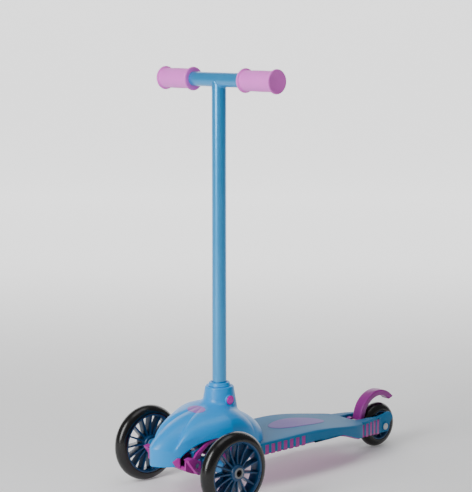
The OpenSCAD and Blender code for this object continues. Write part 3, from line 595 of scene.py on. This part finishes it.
def badge_cap():
    """Oval of dome surface, raised 0.3 mm: x = a r cos t, y = b r sin t, z from the dome.

    A last ring 1 mm below the dome closes the edge.
    """
    middle_x, half_x, half_y = FRONT_X - 15.5, 9.5, 18.5
    share, t = np.meshgrid(
        np.concatenate([np.linspace(0.02, 1, 14), [1.0]]), np.linspace(0, 2 * np.pi, 72)[:-1],
        indexing="ij",
    )
    dx = middle_x - HOOD_X + half_x * share * np.cos(t)
    dy = half_y * share * np.sin(t)
    a, d = np.arctan2(dy, dx), np.hypot(dx, dy)
    v = halve(lambda s: dome_radius(a, s) < d, np.zeros_like(d), np.ones_like(d))
    lift = np.full(len(share), 0.3)
    lift[-1] = -1.0
    z = dome_height(a, v) + lift[:, None]
    points = np.stack([HOOD_X + dx, dy, z], -1)
    faces = grid_faces(*share.shape).tolist() + [list(range(share.shape[1]))]
    return points.reshape(-1, 3), faces


piece("badge_film", *badge_cap(), "chassis", "badge_film", badge_mauve, ("hood_badge",), 60)

# ---------------------------------------------------------------- deck
TAIL_Z = REAR_Z + 21.5
TAIL_HALF, AXLE_HALF = 38.0, 24.0
TAIL_START, TAPER_LEN = REAR_X + 73, 115.0
DROP_START, DROP_END = FRONT_X - 200, REAR_X + 43
SIDE_DROP_START, SIDE_DROP_END = REAR_X + 158, REAR_X + 68
DECK_SIDE_H = 17.5
FORK_IN = 18.0
SLOT_X = REAR_X + 69.5
RIB_GAP, RIB_DEPTH = 7.5, 3.2
GAP_XS = np.concatenate(
    [FRONT_X - 107 - 13 * np.arange(7), REAR_X + 70 - 12 * np.arange(5)]
)


def ease(t):
    """(1 - cos(pi t)) / 2 between 0 and 1."""
    return (1 - np.cos(np.pi * np.clip(t, 0, 1))) / 2


def deck_top_z(x):
    """Height of the deck's top, which eases up from the foot board to the tail."""
    return DECK_Z + (TAIL_Z - DECK_Z) * ease((DROP_START - x) / (DROP_START - DROP_END))


def deck_side_z(x):
    """Height of the blue side's lower edge."""
    low = DECK_Z - DECK_SIDE_H
    return low + (REAR_R - 2 - low) * ease(
        (SIDE_DROP_START - x) / (SIDE_DROP_START - SIDE_DROP_END)
    )


def deck_half(x):
    """Half width: straight, a quarter ellipse to the tail, then arms that narrow to the axle."""
    t = np.clip((TAIL_START + TAPER_LEN - x) / TAPER_LEN, 0, 1)
    arms = ease((TAIL_START - x) / (TAIL_START - REAR_X))
    return (
        TAIL_HALF + (AXLE_HALF - TAIL_HALF) * arms
        + (DECK_HALF - TAIL_HALF) * np.sqrt(1 - t**2)
    )


def gap_share(x):
    """1 in the gaps between the ribs and 0 elsewhere, with steps 0.4 mm wide."""
    off = np.abs(np.asarray(x)[:, None] - GAP_XS).min(1) - RIB_GAP / 2
    return np.clip(0.5 - off / 0.4, 0, 1)


def gap_top_z(x):
    """Height where the gaps between the ribs end, 4 mm below the deck's level there."""
    return np.where(x > (FRONT_X + REAR_X) / 2, DECK_Z, TAIL_Z) - 4.0


def along_deck(start, end):
    """Stations along X: every 3 mm, and close together at the side of each gap."""
    edges = (GAP_XS[:, None] + np.array([-1, 1]) * RIB_GAP / 2).ravel()
    close = (edges[:, None] + np.array([-0.6, -0.2, 0.0, 0.2, 0.6])).ravel()
    every = np.linspace(start, end, int(abs(end - start) / 3) + 1)
    xs = np.unique(np.round(np.concatenate([every, close]), 3))
    low, high = min(start, end), max(start, end)
    return np.concatenate([[low], xs[(xs > low) & (xs < high)], [high]])


def side_section(x, half, low, top, corner):
    """One side's section from its lower edge up and over the corner, with the gaps let in.

    Returns arrays of Y and Z. Inside a gap the side lies RIB_DEPTH deeper.
    """
    top_of_gap = np.minimum(gap_top_z(x), top - corner)
    share = gap_share(x)
    rows = []
    for inset, rise in ((0.8, 0.0), (0.2, 0.25), (0.0, 0.8)):
        rows.append((half - inset - RIB_DEPTH * share, low + rise))
    for t in (0.25, 0.5, 0.75):
        rows.append((half - RIB_DEPTH * share, low + 0.8 + (top_of_gap - low - 1.2) * t))
    for offset, deep in ((-0.3, 1.0), (-0.1, 0.9), (0.1, 0.1), (0.3, 0.0)):
        rows.append((half - RIB_DEPTH * share * deep, top_of_gap + offset))
    for t in np.radians(np.linspace(0, 90, 9)):
        rounded = top - corner * (1 - np.sin(t))
        rows.append((half - corner * (1 - np.cos(t)), np.maximum(rounded, top_of_gap + 0.31)))
    return [row[0] for row in rows], [np.broadcast_to(row[1], x.shape) for row in rows]


def deck_body():
    """Closed section carried along X: bottom, side, rounded corner, top, and mirrored."""
    x = along_deck(SLOT_X + 1.5, FRONT_X - 76)
    half, low, top = deck_half(x), deck_side_z(x), deck_top_z(x)
    ys, zs = side_section(x, half, low, top, 3.4)
    inner = ys[-1]
    for t in (0.85, 0.6, 0.3):
        ys.append(inner * t)
        zs.append(top)
    centre = [(np.zeros_like(x), top)]
    bottom = [(ys[0] * 0.6, low), (np.zeros_like(x), low)]
    left = list(zip(ys, zs))
    ring = left + centre + [(-y, z) for y, z in left[::-1]] + [
        (-bottom[0][0], low), bottom[1], bottom[0]
    ]
    points = np.stack(
        [np.stack([x, y, np.broadcast_to(z, x.shape)], -1) for y, z in ring], 1
    )
    return points.reshape(-1, 3), tube_faces(len(x), len(ring))


# Outline of the fork arms, from the rear axle in X and Z: the upper edge from the horn forward,
# the hollow rear edge downward, and the lower edge forward.
ARM_TOP = np.array(
    [[-17, 17.6], [-15.4, 20.6], [-13, 22.6], [-10.6, 23.9], [-8, 24.4], [-5, 24.1], [-2, 23.4],
     [3, 22.2], [8, 21.2], [18, 20.2], [30, 20.8], [43, 21.5]]
) + [REAR_X, REAR_Z]
ARM_END = np.array(
    [[-18.4, 14.6], [-19.4, 12.4], [-15.2, 8.8], [-12, 4], [-9.4, -1], [-7.8, -5.5], [-7, -9.2]]
) + [REAR_X, REAR_Z]
ARM_LOW = np.array([[7, -9.6], [25.5, -6.4], [46, -3.4], [66, -2]]) + [REAR_X, REAR_Z]
ARM_JOIN = REAR_X + 15


def fork_arm():
    """One arm beside the rear wheel, as a closed section carried along X towards the tail."""
    x = along_deck(ARM_JOIN - 2, SLOT_X + 3)
    half = deck_half(x)
    low = np.where(x < ARM_LOW[-1, 0], np.interp(x, ARM_LOW[:, 0], ARM_LOW[:, 1]), deck_side_z(x))
    top = np.where(x < ARM_TOP[-1, 0], np.interp(x, ARM_TOP[:, 0], ARM_TOP[:, 1]), deck_top_z(x))
    ys, zs = side_section(x, half, low, top, 2.6)
    ring = list(zip(ys, zs))
    for t in np.radians(np.linspace(90, 0, 6)):
        ring.append((FORK_IN + 1.6 - 1.6 * np.cos(t), top - 1.6 + 1.6 * np.sin(t)))
    ring += [(np.full_like(x, FORK_IN), low + 1.0), (np.full_like(x, FORK_IN + 1), low)]
    points = np.stack(
        [np.stack([x, np.broadcast_to(y, x.shape), np.broadcast_to(z, x.shape)], -1)
         for y, z in ring], 1
    )
    return points.reshape(-1, 3), tube_faces(len(x), len(ring))


def fork_end():
    """Plate that ends an arm: a horn up and back, a hollow rear edge, and a ring for the bolt."""
    top = ARM_TOP[ARM_TOP[:, 0] < ARM_JOIN][::-1]
    join_top = [[ARM_JOIN, np.interp(ARM_JOIN, ARM_TOP[:, 0], ARM_TOP[:, 1])]]
    join_low = [[ARM_JOIN, np.interp(ARM_JOIN, ARM_LOW[:, 0], ARM_LOW[:, 1])]]
    outline = np.concatenate([join_top, top, ARM_END, ARM_LOW[:1], join_low])
    face = AXLE_HALF - 1.2
    ring = [(face - 2, 6.2), (AXLE_HALF - 0.4, 6.2), (AXLE_HALF, 6.6), (AXLE_HALF, 7.9),
            (AXLE_HALF - 0.4, 8.3), (face - 2, 8.3)]
    return merged([
        plate(outline, FORK_IN, face, 1.2), revolve(ring, (REAR_X, 0, REAR_Z), "y", 64)
    ])


def mirrored(part):
    """The same points with Y turned round."""
    points, part_faces = part
    return points * [1, -1, 1], [list(f)[::-1] for f in part_faces]


parts = [deck_body(), fork_arm(), mirrored(fork_arm()), fork_end(), mirrored(fork_end())]
piece("deck_shell", *merged(parts), "chassis", "blue_shell", deck_blue, ("deck_top",), 32)


def pad_shape():
    """Oval inlay that follows the deck's fall, its edge rounded down into the deck."""
    middle_x, half_x, half_y = FRONT_X - 226, 58, 26
    share, t = np.meshgrid(
        np.array([0.02, 0.3, 0.55, 0.75, 0.9, 0.965, 0.985, 0.995, 1.0, 1.0]),
        np.linspace(0, 2 * np.pi, 96, endpoint=False), indexing="ij",
    )
    lift = np.array([0.6, 0.6, 0.6, 0.6, 0.6, 0.58, 0.48, 0.3, 0.0, -0.5])
    x = middle_x + half_x * share * np.cos(t)
    y = half_y * share * np.sin(t)
    points = np.stack([x, y, deck_top_z(x) + lift[:, None]], -1)
    faces = grid_faces(*share.shape).tolist() + [list(range(share.shape[1]))]
    return points.reshape(-1, 3), faces


piece("foot_pad_inlay", *pad_shape(), "chassis", "lilac_pad", pad_lilac, ("foot_pad",), 60)

# ---------------------------------------------------------------- wheels
TYRE_DEEP = 13.0
HUB_HALF = 12.5
FRONT_SPOKES, REAR_SPOKES = 15, 10


def tyre_profile(radius):
    """Half-round crown on a flat seat: (place across, radius)."""
    foot, seat = TYRE_HALF - 0.5, radius - TYRE_DEEP + 0.05
    crown = arc((0, radius - TYRE_HALF), TYRE_HALF, 180, 0, 33)
    return np.concatenate([[[-foot, seat]], crown, [[foot, seat]]])


def rim_parts(radius, spokes, hub_half):
    """Lipped ring, deep blade spokes with swollen edges, and a hub that flares to them."""
    seat = radius - TYRE_DEEP
    inner = seat - 3.4
    lip = TYRE_HALF - 0.5
    ring = [
        (-lip, seat - 0.1), (-lip, inner + 1.6), (-lip + 0.5, inner + 1.0), (-lip + 2.2, inner),
        (0, inner - 0.2), (lip - 2.2, inner), (lip - 0.5, inner + 1.0), (lip, inner + 1.6),
        (lip, seat - 0.5), (lip - 0.4, seat + 0.2), (0, seat), (-lip + 0.4, seat + 0.2),
    ]
    hub = [
        (-hub_half, 7.2), (-hub_half, 11.2), (-hub_half + 0.6, 12.0), (-hub_half + 2.5, 12.6),
        (-5.0, 14.5), (5.0, 14.5), (hub_half - 2.5, 12.6), (hub_half - 0.6, 12.0),
        (hub_half, 11.2), (hub_half, 7.2),
    ]
    r = np.linspace(11.5, inner + 0.8, 9)
    t = (r - r[0]) / (r[-1] - r[0])
    depth = (hub_half - 3.0) + (TYRE_HALF - 4.2 - hub_half + 3.0) * t - 1.6 * np.sin(np.pi * t)
    across = np.array([-1, -0.96, -0.85, 0, 0.85, 0.96, 1, 0.96, 0.85, 0, -0.85, -0.96])
    wide = np.array([0, 1.0, 1.3, 0.8, 1.3, 1.0, 0, -1.0, -1.3, -0.8, -1.3, -1.0])
    blade = np.stack(
        [
            np.repeat(r[:, None], len(across), 1),
            depth[:, None] * across,
            np.repeat(wide[None], len(r), 0) * (1 + 0.25 * (1 - t))[:, None],
        ],
        -1,
    )
    faces = tube_faces(len(r), len(across))
    made = [revolve(ring, (0, 0, 0)), revolve(hub, (0, 0, 0), turns=72)]
    for angle in np.radians(np.arange(spokes) * 360 / spokes):
        c, s = np.cos(angle), np.sin(angle)
        turned = np.stack(
            [blade[..., 0] * c - blade[..., 2] * s, blade[..., 1],
             blade[..., 0] * s + blade[..., 2] * c], -1,
        )
        made.append((turned.reshape(-1, 3), faces))
    return merged(made)


def placed(part, centre):
    """The same part moved to a centre."""
    return part[0] + np.asarray(centre), part[1]


wheels = (
    ("left", FRONT_R, (FRONT_X, WHEEL_Y, FRONT_Z), FRONT_SPOKES,
     "front_wheel_left", "rim_left", "tyre_left"),
    ("right", FRONT_R, (FRONT_X, -WHEEL_Y, FRONT_Z), FRONT_SPOKES,
     "front_wheel_right", "rim_right", "tyre_right"),
    ("rear", REAR_R, (REAR_X, 0, REAR_Z), REAR_SPOKES, "rear_wheel", "rear_rim", "rear_tyre"),
)
for side, radius, centre, spokes, body, rim_node, tyre_node in wheels:
    piece(f"wheel_rim_{side}", *placed(rim_parts(radius, spokes, HUB_HALF), centre), body,
          "blue_rim", rim_blue, (rim_node,), 38)
    piece(f"wheel_tyre_{side}", *revolve(tyre_profile(radius), centre, turns=128), body,
          "black_tyre", tyre_black, (tyre_node,), 50)

# ---------------------------------------------------------------- T-bar


def grip_profile():
    """(place along Y, radius): flange, swelling body, flange, then a dished closed end."""
    inner, outer = grip_low[1], grip_high[1]
    flange = (grip_high[2] - grip_low[2]) / 2
    inner_flange = arc((inner + 2.1, flange - 2.1), 2.1, 180, 0, 9)
    outer_flange = arc((outer - 2.1, flange - 2.1), 2.1, 180, 0, 9)
    body = np.linspace(inner + 6.2, outer - 6.2, 15)
    swell = 15.1 + 0.5 * np.sin(np.pi * (body - body[0]) / (body[-1] - body[0]))
    return np.concatenate(
        [
            [[inner, TUBE_R + 0.2]],
            inner_flange,
            [[inner + 4.6, 15.9], [inner + 5.2, 15.3]],
            np.stack([body, swell], 1),
            [[outer - 5.2, 15.3], [outer - 4.6, 15.9]],
            outer_flange,
            [[outer - 0.4, flange - 4.2], [outer - 0.7, flange - 5.5], [outer - 0.7, 0.05]],
            [[outer - 6, 0.05], [outer - 6, TUBE_R + 0.2]],
        ]
    )


for side, sign in (("left", 1), ("right", -1)):
    profile = grip_profile() * [sign, 1]
    piece(f"hand_grip_{side}", *revolve(profile, (COLUMN_X, 0, BAR_Z)), "chassis", "pink_grip",
          grip_pink, (f"grip_{side}",), 55)

TUBE_WALL = 1.6
column_tube = [
    (column_low[2], TUBE_R), (BAR_Z, TUBE_R),
    (BAR_Z, TUBE_R - TUBE_WALL), (column_low[2], TUBE_R - TUBE_WALL),
]
piece("column_tube", *revolve(column_tube, (COLUMN_X, 0, 0), "z"), "chassis",
      "blue_painted_tube", tube_paint, ("steering_column",), 60)
bar_half = bar_high[1]
bar_tube = [(-bar_half, TUBE_R), (bar_half, TUBE_R), (bar_half, TUBE_R - TUBE_WALL),
            (-bar_half, TUBE_R - TUBE_WALL)]
piece("crossbar_tube", *revolve(bar_tube, (COLUMN_X, 0, BAR_Z)), "chassis",
      "blue_painted_tube", tube_paint, ("crossbar",), 60)


def weld_bead(bead_r):
    """Torus along the saddle where two equal tubes meet, at -R |sin a| from the bar's axis.

    The root of sin squared plus 0.03 stands for |sin a|, so that the bead turns over softly.
    """
    a, b = np.meshgrid(np.linspace(0, 2 * np.pi, 120, endpoint=False),
                       np.linspace(0, 2 * np.pi, 10, endpoint=False), indexing="ij")
    around = TUBE_R + bead_r * 0.6 * np.cos(b)
    drop = np.sqrt(np.sin(a) ** 2 + 0.03) * TUBE_R
    points = np.stack([COLUMN_X + around * np.cos(a), around * np.sin(a),
                       BAR_Z - drop + bead_r * np.sin(b)], -1)
    return points.reshape(-1, 3), grid_faces(*a.shape, close_rows=True)


piece("weld_bead", *weld_bead(1.5), "chassis", "blue_painted_tube", tube_paint, (), 80)

collar_r = (collar_high[0] - collar_low[0]) / 2
collar_profile = [
    (collar_low[2], TUBE_R + 0.2), (collar_low[2], collar_r - 0.5),
    (collar_low[2] + 0.5, collar_r),
    (collar_low[2] + 1.4, collar_r - 0.1), (collar_low[2] + 1.9, collar_r - 0.8),
    (collar_low[2] + 2.6, collar_r - 1.2), (collar_high[2] - 1.6, collar_r - 1.7),
    (collar_high[2] - 0.5, collar_r - 2.3), (collar_high[2], collar_r - 3.2),
    (collar_high[2], TUBE_R + 1.5), (collar_high[2] - 0.6, TUBE_R + 1.1),
    (collar_high[2] - 3.0, TUBE_R + 0.9), (collar_high[2] - 3.0, TUBE_R + 0.2),
]
piece("collar_ring", *revolve(collar_profile, (COLUMN_X, 0, 0), "z"), "chassis", "blue_collar",
      shell_blue, ("neck_collar",), 50)

button_profile = [
    (button_low[1] + 0.2, 0.05), (button_low[1] + 0.2, 3.8), (button_high[1] - 8, 3.8),
    (button_high[1] - 8, BUTTON_R - 0.1), (button_high[1] - 1.4, BUTTON_R - 0.1),
    (button_high[1] - 0.7, BUTTON_R - 0.45), (button_high[1] - 0.2, BUTTON_R - 1.4),
    (button_high[1], BUTTON_R - 3.0), (button_high[1], 0.05),
]
piece("button_cap", *revolve(button_profile, (COLUMN_X, 0, BUTTON_Z), "y", 64), "button",
      "pink_button", button_pink, ("release_button",), 60)

# ---------------------------------------------------------------- brake fender
CRESCENT_HALF, CRESCENT_EDGE = 10.0, 3.0


def fender_crescent():
    """Rounded box section carried from the foot to the tip of the fender.

    At each place the section runs across from the inner arc to the outer arc and is
    2 * CRESCENT_HALF wide. Its corners are quarter circles of CRESCENT_EDGE, or 0.85 of half
    the thickness where the crescent is thinner. Places are for a rear wheel of 38 mm radius.
    """
    k = REAR_R / 38
    outer = np.concatenate([
        arc((2, 16), 45.5, 0, 129, 60), [[-28.4, 49.4], [-30.0, 47.7], [-30.3, 46.7]]
    ])
    inner = np.concatenate([
        [[40, 15.5]], arc((1, 16), 35.2, 8, 134, 59),
        [[-27.2, 42.8], [-29.2, 44.2], [-30.1, 45.6]],
    ])
    middle, across = (outer + inner) / 2, (outer - inner) / 2
    half = np.linalg.norm(across, axis=1)[:, None]
    across = across / half
    corner = np.minimum(CRESCENT_EDGE, 0.85 * half)
    t = np.radians(np.concatenate([np.linspace(q, q + 90, 7) for q in (0, 90, 180, 270)]))
    side = np.repeat([[1, 1], [-1, 1], [-1, -1], [1, -1]], 7, 0)
    over = side[:, 0] * (half - corner) + corner * np.cos(t)
    wide = side[:, 1] * (CRESCENT_HALF - corner) + corner * np.sin(t)
    flat = middle[:, None] + across[:, None] * over[..., None]
    points = np.stack([flat[..., 0] * k + REAR_X, wide, flat[..., 1] * k + REAR_Z], -1)
    return points.reshape(-1, 3), tube_faces(*over.shape)


fender_half = fender_high[1]
pin_place = (REAR_X + 51, 0, REAR_Z + 12)
barrel = [(-fender_half + 0.4, 3.2), (-fender_half + 0.4, 6.6), (-fender_half + 0.9, 6.95),
          (-7.0, 6.95), (-7.0, 3.2)]
barrels = [revolve(barrel, pin_place), mirrored(revolve(barrel, pin_place))]
piece("fender_crescent", *merged([fender_crescent(), *barrels]), "brake", "magenta_brake",
      brake_magenta, ("brake_fender",), 40)

# ---------------------------------------------------------------- pieces kept from the frame
# The tray and the base take the pink that is darkened as painted shade.
softened("front_tray", "chassis", lower_pink_painted_shade, 0.7)
softened("deck_base", "chassis", lower_pink_painted_shade, 0.4)
softened("knuckle_left", "knuckle_left_body", steering_nylon, 0.6)
softened("knuckle_right", "knuckle_right_body", steering_nylon, 0.6)

BY_SLOT = {
    "blue_nylon": steering_nylon, "black_nylon": black_nylon, "grey_bush": bush_grey,
    "zinc_steel": zinc, "knuckle_nylon": steering_nylon, "blue_shell": deck_blue,
    "pink_lower_shell": lower_pink_painted_shade, "magenta_brake": brake_magenta, "lilac_pad": pad_lilac,
    "badge_film": badge_mauve, "pink_button": button_pink, "blue_collar": shell_blue,
    "blue_painted_tube": tube_paint, "pink_grip": grip_pink, "blue_rim": rim_blue,
    "black_tyre": tyre_black,
}
for subpart in frame["record"]["subparts"]:
    shown = frame["nodes"][subpart["node"]]
    shown.data.materials.clear()
    # The axle bolts take the nearly black steel as painted shade for the dark recess in each hub.
    painted_recess_shade = subpart["node"].startswith("axle_bolt")
    shown.data.materials.append(bolt_black_painted_shade if painted_recess_shade else BY_SLOT[subpart["material_slot"]])

# ---------------------------------------------------------------- studio
AWAY = np.array([-0.6537, -0.7568])
BEND_START, BEND_R, WALL_TOP = 4.0, 1.5, 4.5
COVE_GLOW = 1.3


def cove():
    """Floor that turns up behind the model: flat, a quarter circle, then a wall; in metres."""
    t = np.linspace(0, np.pi / 2, 25)
    flat = [-4.0, -1.0, 0.0, 1.5, 3.0]
    along = np.concatenate([flat, BEND_START + BEND_R * np.sin(t), [BEND_START + BEND_R]])
    height = np.concatenate([[0.0] * len(flat), BEND_R * (1 - np.cos(t)), [WALL_TOP]])
    across = np.linspace(-6.0, 6.0, 9)
    points = np.stack(
        [along[:, None] * AWAY[0] - across * AWAY[1], along[:, None] * AWAY[1] + across * AWAY[0],
         np.repeat(height[:, None], 9, 1)], -1
    )
    return points.reshape(-1, 3), grid_faces(len(along), 9, close_columns=False)


def lit_paper():
    """Matt white paper that glows more the further back it lies, as a lit cove does."""
    made = finish_material(
        "matt_white_paper", ("#f4f4f4", "#f6f6f6"), 900, (0.85, 0.95), 40, 0.01,
        {"Emission Color": (1.0, 1.0, 1.0, 1.0)}
    )
    tree = made.node_tree
    place = node(tree, "ShaderNodeTexCoord").outputs["Object"]
    back = node(tree, "ShaderNodeVectorMath", {"operation": "DOT_PRODUCT"})
    tree.links.new(place, back.inputs[0])
    back.inputs[1].default_value = (*AWAY.tolist(), 0.0)
    glow = node(
        tree, "ShaderNodeMapRange",
        {"interpolation_type": "SMOOTHSTEP", "From Min": 0.0, "From Max": 2.4, "To Min": 0.12,
         "To Max": COVE_GLOW},
        {"Value": back.outputs["Value"]},
    ).outputs["Result"]
    shader = next(n for n in tree.nodes if n.type == "BSDF_PRINCIPLED")
    tree.links.new(glow, shader.inputs["Emission Strength"])
    return made


cove_points, cove_faces = cove()
floor_mesh = bpy.data.meshes.new("studio_cove")
floor_mesh.from_pydata(cove_points.tolist(), [], cove_faces.tolist())
floor_mesh.shade_smooth()
floor = linked("studio_cove", floor_mesh)
floor_mesh.materials.append(lit_paper())

world = bpy.data.worlds.new("soft_studio")
bpy.context.scene.world = world
world.use_nodes = True
world.node_tree.nodes["Background"].inputs["Color"].default_value = (0.97, 0.98, 1.0, 1.0)
world.node_tree.nodes["Background"].inputs["Strength"].default_value = 0.22


def soft_box(name, place, target, size, power):
    """Rectangular area light that faces a target."""
    light = bpy.data.lights.new(name, "AREA")
    light.shape = "RECTANGLE"
    light.size, light.size_y = size
    light.energy = power
    holder = linked(name, light)
    holder.location = place
    holder.rotation_euler = (Vector(target) - Vector(place)).to_track_quat("-Z", "Y").to_euler()


AIM = (0.05, 0.0, 0.25)
soft_box("key_from_the_nose", (2.1, 0.1, 1.2), AIM, (0.7, 1.8), 52)
soft_box("top", (0.0, 0.3, 2.4), AIM, (1.8, 1.4), 14)

# ---------------------------------------------------------------- camera
EYE = Vector((FRONT_X + 1376.1, 1704.5, 705.5)) * MM
LOOK = Vector((-0.6468, -0.7489, -0.1445))
camera_data = bpy.data.cameras.new("camera")
camera_data.sensor_width = 36.0
camera_data.lens = 107.7804878
camera_data.clip_end = 60
camera = linked("camera", camera_data)
camera.location = EYE
camera.rotation_euler = LOOK.to_track_quat("-Z", "Y").to_euler()
bpy.context.scene.camera = camera
